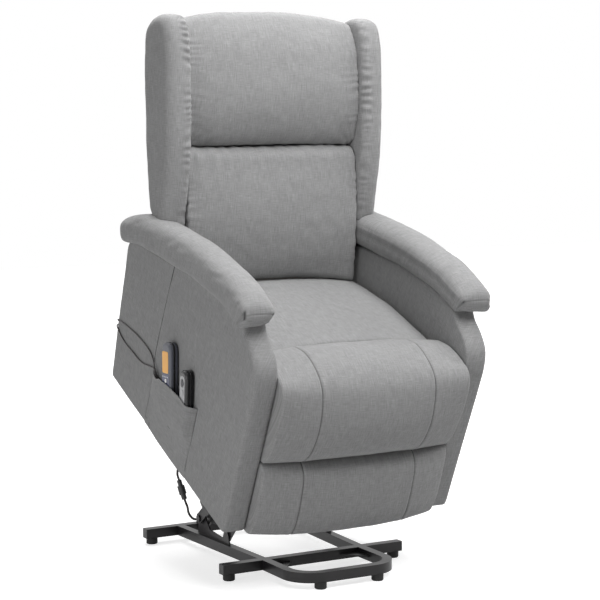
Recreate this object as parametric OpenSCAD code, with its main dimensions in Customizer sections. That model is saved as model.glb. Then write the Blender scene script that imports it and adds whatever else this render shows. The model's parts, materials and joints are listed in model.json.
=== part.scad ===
// Lift recliner chair, shown with the lift raised. Front faces -Y, units mm.

/* [Whole chair] */
// Shift of the whole chair along Y so that its bounding box is centred
y_shift = -117.4;
// [-150:1:-50]
// Forward tilt of the chair frame with the lift raised
tilt = 24.65;
// [0:0.05:30]
// Y of the lower front corner of the chair frame
frame_y = -118;
// [-200:1:0]
// Height of the lower front corner of the chair frame
frame_z = 153.3;
// [60:0.1:220]

/* [Base] */
// Height of the rubber feet
foot_h = 17;
// [8:1:40]
// Diameter of the rubber feet
foot_d = 31;
// [20:1:60]
// Height of the base tubes
tube_h = 26;
// [15:1:50]
// Width of the base tubes
tube_w = 25;
// [15:1:50]
// Wall of the base tubes
wall = 2;
// [1:0.1:4]
// Half length of the front crossbar
front_half = 264.6;
// [200:0.1:320]
// Half length of the rear crossbar
rear_half = 267.3;
// [200:0.1:320]
// Front face of the rear crossbar
rear_y = 462;
// [400:1:520]
// Half width of the front loop
loop_half = 154;
// [100:1:200]
// Reach of the front loop ahead of the crossbar
loop_reach = 186;
// [120:1:240]
// Width of the front loop tube
loop_w = 24;
// [15:1:50]
// Corner radius of the front loop
loop_r = 80;
// [40:1:120]
// Outward splay of the rails to the rear
rail_splay = 2.6;
// [0:0.1:6]
// Width of the rails
rail_w = 22;
// [15:1:40]

/* [Lift linkage] */
// Link bar width
bar_w = 28;
// [20:1:45]
// Link bar thickness
bar_t = 5;
// [3:0.5:8]
// Pivot bolt radius
bolt_r = 6;
// [4:0.5:8]
// Radial running clearance of the pivots
run = 0.05;
// [0.02:0.01:0.1]
// Radius of the oversize hole at the upper rear pivot
loose_r = 9;
// [7:0.5:10]

/* [Upholstery] */
// Inner face of the side panels
panel_in = 267;
// [240:1:300]
// Outer face of the side panels
panel_out = 329;
// [300:1:360]
// Inner edge of the arm pads
pad_in = 255;
// [240:1:280]
// Outer edge of the arm pads
pad_out = 360;
// [330:1:400]
// Half width of the seat cushion
seat_half = 262;
// [220:1:264]
// Half width of the footrest cushions
foot_half = 264;
// [220:1:265]
// Inner face of the backrest wings
wing_in = 254;
// [220:0.5:260]
// Outer face of the backrest wings
wing_out = 320;
// [280:1:340]
// Gap between neighbouring soft parts
gap = 0.3;
// [0.1:0.1:2]

/* [Cords] */
// Radius of the handset cords
cord_r = 1.75;
// [1:0.05:3]
// Radius of the motor lead
lead_r = 3.2;
// [1.5:0.1:4]

/* [Hidden] */
steel = [0.06, 0.06, 0.065];
cloth = [0.62, 0.62, 0.61];
shade = [0.45, 0.45, 0.45];
black = [0.05, 0.05, 0.05];
timber = [0.72, 0.58, 0.4];
zb = foot_h;
zt = foot_h + tube_h;
af = [205, 64];
ar = [350, 85];
cf = [157.3, 60];
cr = [221.4, 70];
hp = [425, 75];
gp = [310, 130];
s1 = [95, 60];
o1 = [75, 365];
rp = [675, 350];
act_x = -97;
function fy(c) = frame_y + c[0] * cos(tilt) - c[1] * sin(tilt);
function fz(c) = frame_z + c[0] * sin(tilt) + c[1] * cos(tilt);
function fw(c) = [fy(c), fz(c)];
module world() translate([0, y_shift, 0]) children();
module chair() translate([0, frame_y + y_shift, frame_z]) rotate([tilt, 0, 0]) children();
module back() translate([0, fy(rp) + y_shift, fz(rp)]) children();
module ext(x0, x1) translate([x0, 0, 0]) rotate([90, 0, 90]) linear_extrude(x1 - x0) children();
module rod_x(c, r, x0, x1) translate([x0, c[0], c[1]]) rotate([0, 90, 0]) cylinder(r = r, h = x1 - x0, $fn = 32);
module both() { children(); mirror([1, 0, 0]) children(); }

// Outline helpers: corners [y, z, reach] become smooth bends
function unit(v) = v / max(norm(v), 1e-6);
function bend_at(p, i, n) = let (m = len(p), b = [p[i][0], p[i][1]], r = p[i][2],
    a = [p[(i + m - 1) % m][0], p[(i + m - 1) % m][1]], c = [p[(i + 1) % m][0], p[(i + 1) % m][1]],
    s = b + unit(a - b) * min(r, norm(a - b) * 0.48), e = b + unit(c - b) * min(r, norm(c - b) * 0.48))
    r == 0 ? [b] : [for (k = [0:n]) let (t = k / n) s * pow(1 - t, 2) + b * 2 * t * (1 - t) + e * t * t];
function bends(p, n = 3) = [for (i = [0:len(p) - 1]) each bend_at(p, i, n)];
function normal_at(p, i) = let (m = len(p), a = p[(i + m - 1) % m], b = p[i], c = p[(i + 1) % m],
    d = unit(unit(b - a) + unit(c - b))) [-d[1], d[0]];
function inset(p, d) = [for (i = [0:len(p) - 1]) p[i] + normal_at(p, i) * d];
function mix(a, b, t) = [for (i = [0:len(a) - 1]) a[i] * (1 - t) + b[i] * t];
function at_x(p, x) = [for (q = p) [x, q[0], q[1]]];
function mid(r) = [for (k = [0:2]) [for (q = r) q[k]] * [for (q = r) 1 / len(r)]];

// Closed skin over a list of rings with equal point counts
module skin(rings) {
    n = len(rings[0]);
    m = len(rings);
    pts = concat([for (r = rings) each r], [mid(rings[0]), mid(rings[m - 1])]);
    side = [for (j = [0:m - 2]) for (i = [0:n - 1]) let (k = (i + 1) % n)
        each [[j * n + i, (j + 1) * n + i, (j + 1) * n + k], [j * n + i, (j + 1) * n + k, j * n + k]]];
    low = [for (i = [0:n - 1]) [m * n, i, (i + 1) % n]];
    top = [for (i = [0:n - 1]) [m * n + 1, (m - 1) * n + (i + 1) % n, (m - 1) * n + i]];
    polyhedron(points = pts, faces = concat(side, low, top), convexity = 6);
}

// Padded slab between two X planes with rolled edges
module slab(outline, x0, x1, roll) {
    w = abs(x1 - x0);
    s = sign(x1 - x0);
    k = min(roll, w / 2);
    steps = [[0, 0.6], [0.2, 0.2], [0.8, 0]];
    near = [for (t = steps) at_x(inset(outline, k * t[1]), x0 + s * k * t[0])];
    far = [for (i = [2:-1:0]) at_x(inset(outline, k * steps[i][1]), x1 - s * k * steps[i][0])];
    rings = concat(near, far);
    skin(s > 0 ? rings : [for (i = [len(rings) - 1:-1:0]) rings[i]]);
}

// Cushion from edge outline to middle outline over the width
module cushion(edge, middle, half, roll) {
    xs = [-1, -0.988, -0.95, -0.82, -0.5, 0, 0.5, 0.82, 0.95, 0.988, 1];
    ins = [0.7, 0.28, 0.06, 0, 0, 0, 0, 0, 0.06, 0.28, 0.7];
    skin([for (i = [0:len(xs) - 1]) let (f = 1 - pow(abs(xs[i]), 2.6))
        at_x(inset(mix(edge, middle, f), roll * ins[i]), half * xs[i])]);
}

// Round cord along points
function dir_at(p, i) = unit(p[min(i + 1, len(p) - 1)] - p[max(i - 1, 0)]);
function side_at(p, i) = let (d = dir_at(p, i), h = abs(d[0]) > 0.9 ? [0, 0, 1] : [1, 0, 0]) unit(cross(d, h));
module cord(p, r) {
    skin([for (i = [0:len(p) - 1]) let (d = dir_at(p, i), a = side_at(p, i), b = cross(d, a))
        [for (k = [0:7]) p[i] + (a * cos(45 * k) + b * sin(45 * k)) * r]]);
}

// Flat bar between two pivots in a YZ plane
module bar(a, b, w, x0, x1, ra, rb) {
    len_ab = norm(b - a);
    ang = atan2(b[1] - a[1], b[0] - a[0]);
    difference() {
        union() {
            translate([0, a[0], a[1]]) rotate([ang, 0, 0]) translate([x0, 0, -w / 2]) cube([x1 - x0, len_ab, w]);
            rod_x(a, w / 2 + 0.8, x0, x1);
            rod_x(b, w / 2 + 0.8, x0, x1);
        }
        if (ra > 0) rod_x(a, ra, x0 - 1, x1 + 1);
        if (rb > 0) rod_x(b, rb, x0 - 1, x1 + 1);
    }
}

// Base
module crossbar(half, y0) color(steel) world() difference() {
    translate([-half, y0, zb]) cube([2 * half, tube_w, tube_h]);
    translate([-half - 1, y0 + wall, zb + wall]) cube([2 * half + 2, tube_w - 2 * wall, tube_h - 2 * wall]);
}
module front_crossbar() crossbar(front_half, 0);
module rear_crossbar() union() {
    crossbar(rear_half, rear_y);
    color(steel) world() for (x = [act_x - 13, act_x + 8]) difference() {
        ext(x, x + bar_t) union() {
            translate(hp) circle(r = 14, $fn = 32);
            polygon([[rear_y, zb + 4], [rear_y, zt], [rear_y + 20, zt], [hp[0] + 9, hp[1] + 10.5], [hp[0] - 9, hp[1] - 10.5]]);
        }
        rod_x(hp, bolt_r + run, x - 1, x + bar_t + 1);
    }
}
module plug(x, s, y0) color(black) world() translate([x, y0, zb]) mirror([s < 0 ? 1 : 0, 0, 0]) union() {
    translate([0, 0.2, 0.2]) cube([2, tube_w - 0.4, tube_h - 0.4]);
    translate([-10, wall + 0.2, wall + 0.2]) cube([10.5, tube_w - 2 * wall - 0.4, tube_h - 2 * wall - 0.4]);
}
module end_cap_front_left() plug(-front_half, -1, 0);
module end_cap_front_right() plug(front_half, 1, 0);
module end_cap_rear_left() plug(-rear_half, -1, rear_y);
module end_cap_rear_right() plug(rear_half, 1, rear_y);
module rail() color(steel) world() intersection() {
    translate([-loop_half, 0, zb]) rotate([0, 0, rail_splay]) difference() {
        translate([0, -20, 0]) cube([rail_w, rear_y + 60, tube_h]);
        translate([wall, -21, wall]) cube([rail_w - 2 * wall, rear_y + 62, tube_h - 2 * wall]);
    }
    translate([-220, tube_w, zb]) cube([200, rear_y - tube_w, tube_h]);
}
module rail_left() rail();
module rail_right() mirror([1, 0, 0]) rail();
module loop_2d(i) {
    r = loop_r - i;
    cx = loop_half - loop_r;
    translate([-cx, -loop_reach + i]) square([2 * cx, loop_reach - i]);
    translate([-loop_half + i, -loop_reach + loop_r]) square([2 * (loop_half - i), loop_reach - loop_r]);
    for (s = [-1, 1]) translate([s * cx, -loop_reach + loop_r]) circle(r = r, $fn = 64);
}
module front_loop() color(steel) world() union() {
    translate([0, 0, zb]) linear_extrude(tube_h) difference() {
        loop_2d(0);
        translate([0, 0.01]) loop_2d(loop_w);
    }
    for (s = [-1, 1]) translate([0, 0, zb + 11]) linear_extrude(4)
        polygon([[s * (loop_half - 2), -62], [s * (loop_half - 2), 0], [s * (loop_half - loop_w - 56), 0],
            [s * (loop_half - loop_w - 50), -12], [s * (loop_half - loop_w - 6), -56]]);
}
module pivot_plate() color(steel) world() difference() {
    union() {
        ext(-156, -152) union() {
            translate(af) circle(r = 14, $fn = 32);
            translate(ar) circle(r = 19, $fn = 32);
            polygon([[185, zt], [372, zt], [ar[0] + 18.5, ar[1] - 4], [ar[0] - 14, ar[1] + 12.5],
                [300, 62], [225, 55], [af[0] + 9, af[1] + 10.5], [af[0] - 13, af[1] + 4]]);
        }
        rod_x(af, bolt_r, -156, -144);
        rod_x(af, 9, -144.5, -141);
        rod_x(ar, bolt_r, -168, -152);
        rod_x(ar, 9, -168, -165);
    }
}
module pivot_plate_left() pivot_plate();
module pivot_plate_right() mirror([1, 0, 0]) pivot_plate();
module foot(x, y) color(black) world() translate([x, y, 0]) union() {
    cylinder(r = foot_d / 2 - 2, h = 3, $fn = 32);
    translate([0, 0, 2]) cylinder(r = foot_d / 2, h = foot_h - 2, $fn = 32);
}
module foot_front_left() foot(-244.6, tube_w / 2);
module foot_front_right() foot(244.6, tube_w / 2);
module foot_rear_left() foot(-248, rear_y + tube_w / 2);
module foot_rear_right() foot(248, rear_y + tube_w / 2);
module foot_loop_left() foot(-83, -loop_reach + tube_w / 2);
module foot_loop_right() foot(83, -loop_reach + tube_w / 2);

// Lift linkage
module front_link_frame() color(steel) world() {
    both() bar(af, fw(cf), bar_w, -151, -146, bolt_r + run, bolt_r + run);
    rod_x((af + fw(cf)) / 2, 12, -147, 147);
}
module rear_link_frame() color(steel) world() {
    both() bar(ar, fw(cr), bar_w, -164, -159, bolt_r + run, loose_r);
    rod_x(ar * 0.25 + fw(cr) * 0.75, 9.5, -160, 160);
}

// Actuator, drawn along +Y from the rear pin and turned into place
act_a = atan2(fz(gp) - hp[1], fy(gp) - hp[0]);
act_l = norm(fw(gp) - hp);
module along() world() translate([act_x, hp[0], hp[1]]) rotate([act_a, 0, 0]) children();
module cyl_y(r, y0, y1) translate([0, y0, 0]) rotate([-90, 0, 0]) cylinder(r = r, h = y1 - y0, $fn = 32);
lead_end = [394, 78.5];
module actuator_body() color(black) {
    actuator_shell();
    world() rod_x(lead_end, 5.5, act_x - 32, act_x - 23);
}
module actuator_shell() along() difference() {
    union() {
        rotate([0, 90, 0]) translate([0, 0, -7.5]) cylinder(r = 13, h = 15, $fn = 32);
        translate([-7.5, 0, -12]) cube([15, 24, 24]);
        translate([-24, 20, -31]) cube([48, 74, 62]);
        translate([-20, 94, -22]) cube([40, 16, 44]);
        cyl_y(17, 108, 324);
        cyl_y(19, 315, 328);
        translate([0, 30, 34]) rotate([-90, 0, 0]) cylinder(r = 23, h = 118, $fn = 32);
        translate([-16, 24, 20]) cube([32, 70, 26]);
    }
    cyl_y(10.05, 126, 340);
    rotate([0, 90, 0]) translate([0, 0, -9]) cylinder(r = bolt_r + run, h = 18, $fn = 32);
}
module hinge_pin_rear() color(steel) world() union() {
    rod_x(hp, bolt_r, act_x - 16, act_x + 16);
    rod_x(hp, 9, act_x - 18, act_x - 13.1);
    rod_x(hp, 9, act_x + 13.1, act_x + 18);
}
module actuator_rod() color([0.7, 0.7, 0.72]) along() union() {
    cyl_y(10, 210, act_l - 8);
    translate([0, act_l, 0]) rotate([0, 90, 0]) translate([0, 0, -7]) cylinder(r = 14, h = 14, $fn = 32);
    translate([0, act_l, 0]) rotate([0, 90, 0]) translate([0, 0, -17]) cylinder(r = bolt_r, h = 34, $fn = 32);
}

// Chair frame steelwork
module mech_2d() difference() {
    polygon([[78, 42], [112, 42], [122, 60], [170, 150], [600, 150], [655, 200], [696, 335], [696, 366],
        [656, 366], [610, 240], [140, 240], [75, 78]]);
    translate(s1) circle(r = bolt_r - 1, $fn = 24);
    translate(rp) circle(r = bolt_r + run, $fn = 32);
}
module mech_plate() color(steel) chair() union() {
    ext(-266.7, -262) mech_2d();
    rod_x(s1, bolt_r, -266.7, -254);
    rod_x(s1, 9.5, -255.5, -252.5);
}
module mech_plate_left() mech_plate();
module mech_plate_right() mirror([1, 0, 0]) mech_plate();
ta = [190, 150];
tb = [345, 170];
module lift_bracket_2d() difference() {
    polygon([[137, 52], [148, 43], [235, 49], [262, 78], [365, 150], [365, 186], [170, 186], [137, 85]]);
    translate([240, 128]) circle(r = 17, $fn = 32);
}
module lift_frame() color(steel) chair() {
    rod_x(ta, 12.5, -262, 262);
    rod_x(tb, 12.5, -262, 262);
    both() {
        ext(-158, -153) lift_bracket_2d();
        rod_x(cf, bolt_r, -154, -144);
        rod_x(cf, 9, -145, -141.5);
        rod_x(cr, bolt_r, -168, -157);
        rod_x(cr, 11.5, -168, -165);
    }
    for (x = [act_x - 16, act_x + 11]) difference() {
        ext(x, x + bar_t) polygon([[288, 106], [318, 106], [362, 160], [356, 184], [332, 184], [286, 134]]);
        rod_x(gp + [1, 1], bolt_r + 2.2, x - 1, x + bar_t + 1);
        rod_x(gp - [10, 9], bolt_r + 2.2, x - 1, x + bar_t + 1);
        translate([0, gp[0] + 1, gp[1] + 1]) rotate([222.3, 0, 0])
            translate([x - 2, 0, -bolt_r - 1.9]) cube([bar_t + 4, 14.9, 2 * bolt_r + 3.8]);
    }
}
module seat_frame() color(timber) chair() difference() {
    translate([-266.7, 146, 262]) cube([533.4, 454, 37.7]);
    translate([-236, 174, 261]) cube([472, 398, 40]);
}
module seat_deck() color([0.3, 0.3, 0.3]) chair() translate([-264, 144, 300]) cube([528, 452, 12]);
module control_box() color(black) chair() union() {
    translate([-266.7, 446, 10]) cube([40.7, 70, 52]);
    translate([-228, 466, 20]) cube([6, 22, 14]);
}
module rear_panel() color(shade) chair() ext(-266.7, 266.7)
    polygon([[724, 4], [737, 4], [771, 318], [758, 318]]);

// Side panels and arm pads
panel_line = bends([[0, 0, 14], [742, 0, 12], [783, 379, 6], [775, 399, 4], [715, 422, 30], [638, 445, 30], [561, 462, 30],
    [482, 477, 30], [380, 499, 40], [212, 519, 50], [100, 511, 8], [88, 503, 12], [50, 495, 24], [12, 468, 30], [0, 420, 30]]);
module side_panel() color(shade) chair() slab(panel_line, -panel_out, -panel_in, 13);
module side_panel_left() side_panel();
module side_panel_right() mirror([1, 0, 0]) side_panel();
pad_c = (pad_in + pad_out) / 2;
pad_h = (pad_out - pad_in) / 2;
// Stations: bottom u, bottom v, top u, top v, width factor
pad_st = [[103, 520, 92, 532, 0.62, 0.25], [105, 516, 72, 540, 0.78, 0.5], [107, 513.2, 55, 556, 0.84, 0.72], [110, 513.2, 47, 576, 0.85, 0.84],
    [116, 514, 62, 594, 0.85, 0.86], [130, 515, 88, 605, 0.85, 0.88], [152, 517, 121, 611.5, 0.85, 0.9], [179, 519, 163, 615, 0.85, 0.92],
    [212, 520.3, 208, 616, 0.85, 0.93], [262, 515.3, 259, 612, 0.86, 0.93], [320, 508.3, 311, 606, 0.87, 0.93], [380, 500.3, 364, 599, 0.88, 0.94],
    [431, 490.3, 427, 588.5, 0.89, 0.95], [482, 478.3, 494, 574, 0.91, 0.96], [561, 463.3, 570, 555.5, 0.94, 0.98], [638, 446.3, 640, 536, 0.97, 1],
    [680, 435.5, 699, 520.5, 1, 1], [715, 423.3, 738, 501, 1, 1], [742, 412, 768, 482, 0.99, 0.99], [764, 403.5, 791, 466, 0.96, 0.96],
    [776, 401, 803, 453, 0.88, 0.88], [783, 402.5, 808, 440, 0.74, 0.74]];
function pad_ring(s) = let (b = [s[0], s[1]], t = [s[2], s[3]], d = t - b)
    [for (i = [0:19]) let (a = -90 - i * 18, ca = cos(a), sa = sin(a),
        e = sa > 0 ? 0.7 : 0.5,
        px = sign(ca) * pow(abs(ca), e) * pad_h * (ca > 0 ? s[5] : s[4]) * (1 - 0.03 * max(sa, 0)),
        q = 0.5 + 0.5 * sign(sa) * pow(abs(sa), e) - (sa > 0.2 ? 0.07 * max(px, 0) / pad_h * sa : 0),
        h = b + d * max(q, 0))
        [-pad_c + px, h[0], h[1]]];
module arm_pad() color(cloth) chair() skin([for (s = pad_st) pad_ring(s)]);
module arm_pad_left() arm_pad();
module arm_pad_right() mirror([1, 0, 0]) arm_pad();

// Seat
seat_edge = bends([[142, 330, 6], [142, 404, 14], [168, 411, 20], [368, 402, 60], [530, 374, 40], [590, 356, 14], [592, 316, 6], [570, 312.4, 6], [160, 312.4, 6]]);
seat_mid = bends([[142, 330, 6], [140, 444, 14], [180, 443, 20], [368, 427, 60], [530, 396, 40], [588, 372, 14], [592, 316, 6], [570, 312.4, 6], [160, 312.4, 6]]);
function ccw(p) = [for (i = [len(p) - 1:-1:0]) p[i]];
module seat_cushion() color(cloth) chair() cushion(ccw(seat_edge), ccw(seat_mid), seat_half, 9);

// Footrest
roll_edge = bends([[139.6, 409, 5], [46, 407, 5], [40.3, 395, 4], [40.3, 206.5, 5], [-8, 206, 14], [-38, 246, 30], [-50, 320, 50], [-30, 392, 40],
    [20, 436, 40], [84, 452, 26], [138, 436, 10]]);
roll_mid = bends([[139.6, 409, 5], [46, 407, 5], [40.3, 395, 4], [40.3, 206.5, 5], [-16, 206, 16], [-50, 242, 30], [-63, 320, 50], [-42, 400, 40],
    [8, 452, 40], [80, 467, 26], [139, 446, 10]]);
module footrest_roll() color(cloth) chair() cushion(ccw(roll_edge), ccw(roll_mid), foot_half, 8);
low_edge = bends([[40.3, 199, 5], [-12, 199, 14], [-34, 170, 26], [-44, 120, 40], [-48, 46, 36], [-34, 6, 16], [-8, -2.5, 12], [40.3, -2.5, 5]], 4);
low_mid = bends([[40.3, 199, 5], [-22, 199, 16], [-50, 172, 26], [-58, 120, 40], [-66, 46, 36], [-52, 4, 18], [-12, -2.5, 14], [40.3, -2.5, 5]], 4);
module footrest_pad() color(cloth) chair() cushion(low_edge, low_mid, foot_half, 8);
module footrest_board() color(timber) chair() translate([-248, 40.6, -2]) cube([496, 14.4, 394]);
module footrest_bracket() color(steel) chair() {
    difference() {
        ext(-253.5, -249) polygon([[55.2, 330], [66, 330], [88, 356], [88, 374], [80, 380], [55.2, 386]]);
        rod_x(o1, 3, -260, -240);
    }
    ext(-253.5, -200) polygon([[55.1, 330], [58, 330], [58, 386], [55.1, 386]]);
    rod_x(o1, bolt_r, -261.6, -249);
}
module footrest_bracket_left() footrest_bracket();
module footrest_bracket_right() mirror([1, 0, 0]) footrest_bracket();
module footrest_arms() color(steel) chair() {
    both() bar(s1, o1, 24, -261, -256, bolt_r + run, bolt_r + run);
    rod_x((s1 + o1) / 2, 8, -256.5, 256.5);
}

// Backrest, drawn about the recline pivot
module back_board() color(timber) back() union() {
    translate([-250, -30, -10]) cube([500, 26, 178]);
    translate([-244.2, -30, 160]) cube([488.4, 26, 480]);
}
module back_bracket() color(steel) back() union() {
    ext(-254.7, -250.3) polygon([[-14, -16], [12, -16], [17, 0], [8, 20], [-4, 40], [-4, 168], [-30, 168], [-30, 10], [-20, -10]]);
    rod_x([0, 0], bolt_r, -266.5, -253);
    rod_x([0, 0], 10, -261.6, -254);
    for (z = [30, 62]) rod_x([-17, z], 5, -257.5, -254);
}
module back_bracket_left() back_bracket();
module back_bracket_right() mirror([1, 0, 0]) back_bracket();
lum_edge = bends([[-30.4, 22, 4], [-62, 4, 10], [-120, -24, 22], [-134, 60, 30], [-137, 200, 60], [-130, 318, 30], [-100, 336, 16], [-30.4, 336, 4]]);
lum_mid = bends([[-30.4, 32, 4], [-62, 12, 10], [-126, -13, 22], [-150, 60, 40], [-153, 200, 60], [-138, 322, 24], [-110, 337, 14], [-30.4, 336, 4]]);
module lumbar_cushion() color(cloth) back() cushion(ccw(lum_edge), ccw(lum_mid), wing_in - gap, 7);
head_edge = bends([[-30.4, 342, 4], [-110, 342, 18], [-131, 362, 26], [-148, 470, 60], [-139, 600, 50], [-98, 664, 30], [-30.4, 664, 8]]);
head_mid = bends([[-30.4, 342, 4], [-112, 341, 18], [-140, 362, 26], [-164, 480, 60], [-150, 622, 50], [-100, 693, 34], [-30.4, 690, 8]]);
module headrest_cushion() color(cloth) back() cushion(ccw(head_edge), ccw(head_mid), wing_in - gap - 1, 8);
wing_line = bends([[-60, 150, 4], [-26, 190, 16], [-10, 320, 50], [-8, 461, 60], [-8, 565, 50], [-12, 640, 24], [-48, 672, 30],
    [-104.6, 682, 30], [-150, 670, 26], [-170, 612, 40], [-177, 500, 60], [-174, 353, 60], [-155, 244, 40], [-128, 150, 4]]);
// Wing sections: x and inset of the outline
wing_rings = [[-wing_out, 9], [3 - wing_out, 3], [12 - wing_out, 0], [-wing_in - 12, 0], [-wing_in - 3, 3], [-wing_in, 9]];
function above_pad(p) = [for (v = p) [v[0], max(v[1], 160 + 0.125 * (v[0] + 125))]];
module wing() color(cloth) back() skin([for (r = wing_rings) at_x(above_pad(inset(wing_line, r[1])), r[0])]);
module wing_left() wing();
module wing_right() mirror([1, 0, 0]) wing();
cover_line = bends([[-3.6, -18, 1], [7, -18, 3], [8, 300, 20], [8, 640, 12], [-3.6, 672, 3]], 3);
module back_cover() color(shade) back() slab(cover_line, -249.6, 249.6, 4);

// Side pocket: D-shaped sections from bottom to slanted mouth
pocket_u0 = 236;
pocket_u1 = 500;
function mouth_v(u) = u < 300 ? 204 + (u - 236) * 0.03 : u < 371 ? 206 - (u - 300) * 0.155 : 195 - (u - 371) * 0.248;
function bow(t, w) = t < w ? 1 - pow(1 - t / w, 2) : t < 0.5 ? 1 : 1 - pow((t - 0.5) * 2, 2.5);
pouch_t = [0, 0.012, 0.03, 0.06, 0.14, 0.24, 0.37, 0.5, 0.6, 0.7, 0.8, 0.87, 0.93, 0.97, 1];
function pouch_ring(f, d, i, v0, dv) = concat(
    [for (t = pouch_t) let (u = pocket_u0 + i + (pocket_u1 - pocket_u0 - 2 * i) * t)
        [-panel_out - 0.6 - i * 0.7 - (d - i * 1.6) * bow(t, 0.06 + 0.34 * max(0, 1 - f / 0.55)), u, v0 + (mouth_v(u) + dv - v0) * f]],
    [for (k = [3:-1:1]) let (u = pocket_u0 + i + (pocket_u1 - pocket_u0 - 2 * i) * k / 4)
        [-panel_out - 0.4 - i * 0.7, u, v0 + (mouth_v(u) + dv - v0) * f]]);
module side_pocket() color(shade) chair() difference() {
    skin([for (s = [[0, 8], [0.04, 12], [0.2, 18], [0.45, 25], [0.7, 29.4], [0.9, 30], [1, 29.8]])
        ccw(pouch_ring(s[0], s[1], 0, 6, 0))]);
    skin([for (s = [[0, 12], [0.2, 18], [0.45, 25], [0.7, 29.4], [0.9, 30], [1, 29.8], [1.06, 29.8]])
        ccw(pouch_ring(s[0], s[1], 2.2, 22, 0))]);
}

// Handsets in the pocket
module placed(u, v, lean) chair() translate([0, u, v]) rotate([-lean, 0, 0]) children();
module round_box(w, l, r) {
    square([w - 2 * r, l], center = true);
    square([w, l - 2 * r], center = true);
    for (a = [-1, 1]) for (b = [-1, 1]) translate([a * (w / 2 - r), b * (l / 2 - r)]) circle(r = r, $fn = 24);
}
module shell_box(x0, x1, w, l, r) union() {
    ext(x0, x1) round_box(w - 5, l - 5, r - 2);
    ext(x0 + 2, x1 - 2) round_box(w, l, r);
}
module handset_massage() color([0.1, 0.1, 0.11]) placed(387, 228, 23.7) difference() {
    shell_box(-355.9, -331.5, 50, 158, 10);
    rod_x([0, -19], 5.3, -358, -352.8);
}
module massage_button() color([0.9, 0.45, 0.1]) placed(387, 228, 23.7) rod_x([0, -19], 5, -357.2, -354.5);
module handset_lift() color(black) placed(284.5, 232.5, 20) difference() {
    shell_box(-355.6, -331.5, 40, 116, 14);
    for (v = [2, 26]) rod_x([0, v], 7.3, -358, -352.5);
}
module lift_button_up() color([0.25, 0.25, 0.25]) placed(284.5, 232.5, 20) rod_x([0, 26], 7, -357, -354.1);
module lift_button_down() color([0.25, 0.25, 0.25]) placed(284.5, 232.5, 20) rod_x([0, 2], 7, -357, -354.1);

// Cords as points in the chair frame [x, u, v]
cord_a = [[-254, 757.8, 162.6], [-261, 760.4, 163.4], [-268, 762.3, 164], [-288, 762.7, 165], [-308, 762.9, 166], [-319, 762.9, 167],
    [-328, 759.6, 168.5], [-331.6, 752, 171], [-332.2, 744, 174], [-332.2, 734, 178], [-332.2, 702, 186], [-332.2, 669, 192], [-332.2, 634, 198], [-332.2, 597, 201],
    [-332.3, 566, 203], [-332.8, 536, 202], [-334.8, 508, 196], [-338.2, 484, 184], [-342, 462, 168], [-344.5, 443, 152], [-345.5, 424, 138],
    [-345, 402, 128], [-345.6, 382, 126], [-345.6, 366, 131], [-345.6, 356.5, 141], [-345.6, 353.6, 151]];
cord_b = [[-254, 757.2, 156.4], [-261, 759.6, 155.8], [-268, 761.5, 155.6], [-288, 761.8, 155], [-308, 761.8, 154.4], [-319, 761.2, 153.8],
    [-327.8, 758, 153], [-331.5, 751, 151.8], [-332.2, 744, 150.4], [-332.2, 734, 148], [-332.2, 716, 143], [-332.2, 692, 140], [-332.2, 665, 140], [-332.2, 628, 142],
    [-332.2, 589, 144], [-332.4, 560, 150], [-333, 534, 160], [-334, 508, 171], [-335, 487, 176], [-336.5, 466, 170], [-338, 446, 151], [-340, 432, 133],
    [-342, 414, 117], [-343.6, 384, 104], [-345, 346, 98], [-345.2, 310, 100], [-345, 284, 111], [-344.8, 267, 129], [-344.6, 259.5, 147],
    [-344.6, 259, 162], [-344.6, 263, 177.6]];
module cord_massage() color(black) chair() cord(cord_a, cord_r);
module cord_lift() color(black) chair() cord(cord_b, cord_r);
module cord_grommet() color(black) chair() translate([-246, 755, 159.5]) rotate([-90, 0, 0])
    cylinder(r = 8, h = 5.4, $fn = 24);
// Motor lead as points in the world
lead_pts = [[-219.8, 312, 358], [-214, 313.5, 355], [-212, 321, 338], [-213.5, 338, 302], [-215, 358, 262], [-213, 376, 225],
    [-211.5, 383, 205], [-207, 383, 189], [-195.5, 373.5, 137], [-188, 371.5, 115], [-182, 378, 98], [-174, 382, 86],
    [-164, 385, 77], [-153, 388, 73.5], [-144, 390.5, 73.5], [-136.5, 392.5, 76.5], [-129.6, 393.6, 78]];
module motor_lead() color(black) world() {
    cord(lead_pts, lead_r);
}
module lead_connector() color(black) world() {
    a = lead_pts[7];
    b = lead_pts[8];
    d = b - a;
    translate(a) rotate([0, acos(d[2] / norm(d)), atan2(d[1], d[0])]) difference() {
        union() {
            cylinder(r = 6.5, h = 20, $fn = 24);
            translate([0, 0, 16]) cylinder(r = 10, h = norm(d) - 30, $fn = 24);
            translate([0, 0, norm(d) - 18]) cylinder(r = 7.2, h = 18, $fn = 24);
        }
        translate([0, 0, -1]) cylinder(r = lead_r + run, h = norm(d) + 2, $fn = 24);
    }
}

front_crossbar();
rear_crossbar();
rail_left();
rail_right();
front_loop();
pivot_plate_left();
pivot_plate_right();
end_cap_front_left();
end_cap_front_right();
end_cap_rear_left();
end_cap_rear_right();
foot_front_left();
foot_front_right();
foot_rear_left();
foot_rear_right();
foot_loop_left();
foot_loop_right();
hinge_pin_rear();
front_link_frame();
rear_link_frame();
actuator_body();
actuator_rod();
mech_plate_left();
mech_plate_right();
lift_frame();
seat_frame();
seat_deck();
seat_cushion();
control_box();
rear_panel();
side_panel_left();
side_panel_right();
arm_pad_left();
arm_pad_right();
side_pocket();
handset_massage();
massage_button();
handset_lift();
lift_button_up();
lift_button_down();
cord_massage();
cord_lift();
cord_grommet();
footrest_roll();
footrest_pad();
footrest_board();
footrest_bracket_left();
footrest_bracket_right();
footrest_arms();
back_board();
back_bracket_left();
back_bracket_right();
lumbar_cushion();
headrest_cushion();
wing_left();
wing_right();
back_cover();
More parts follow.
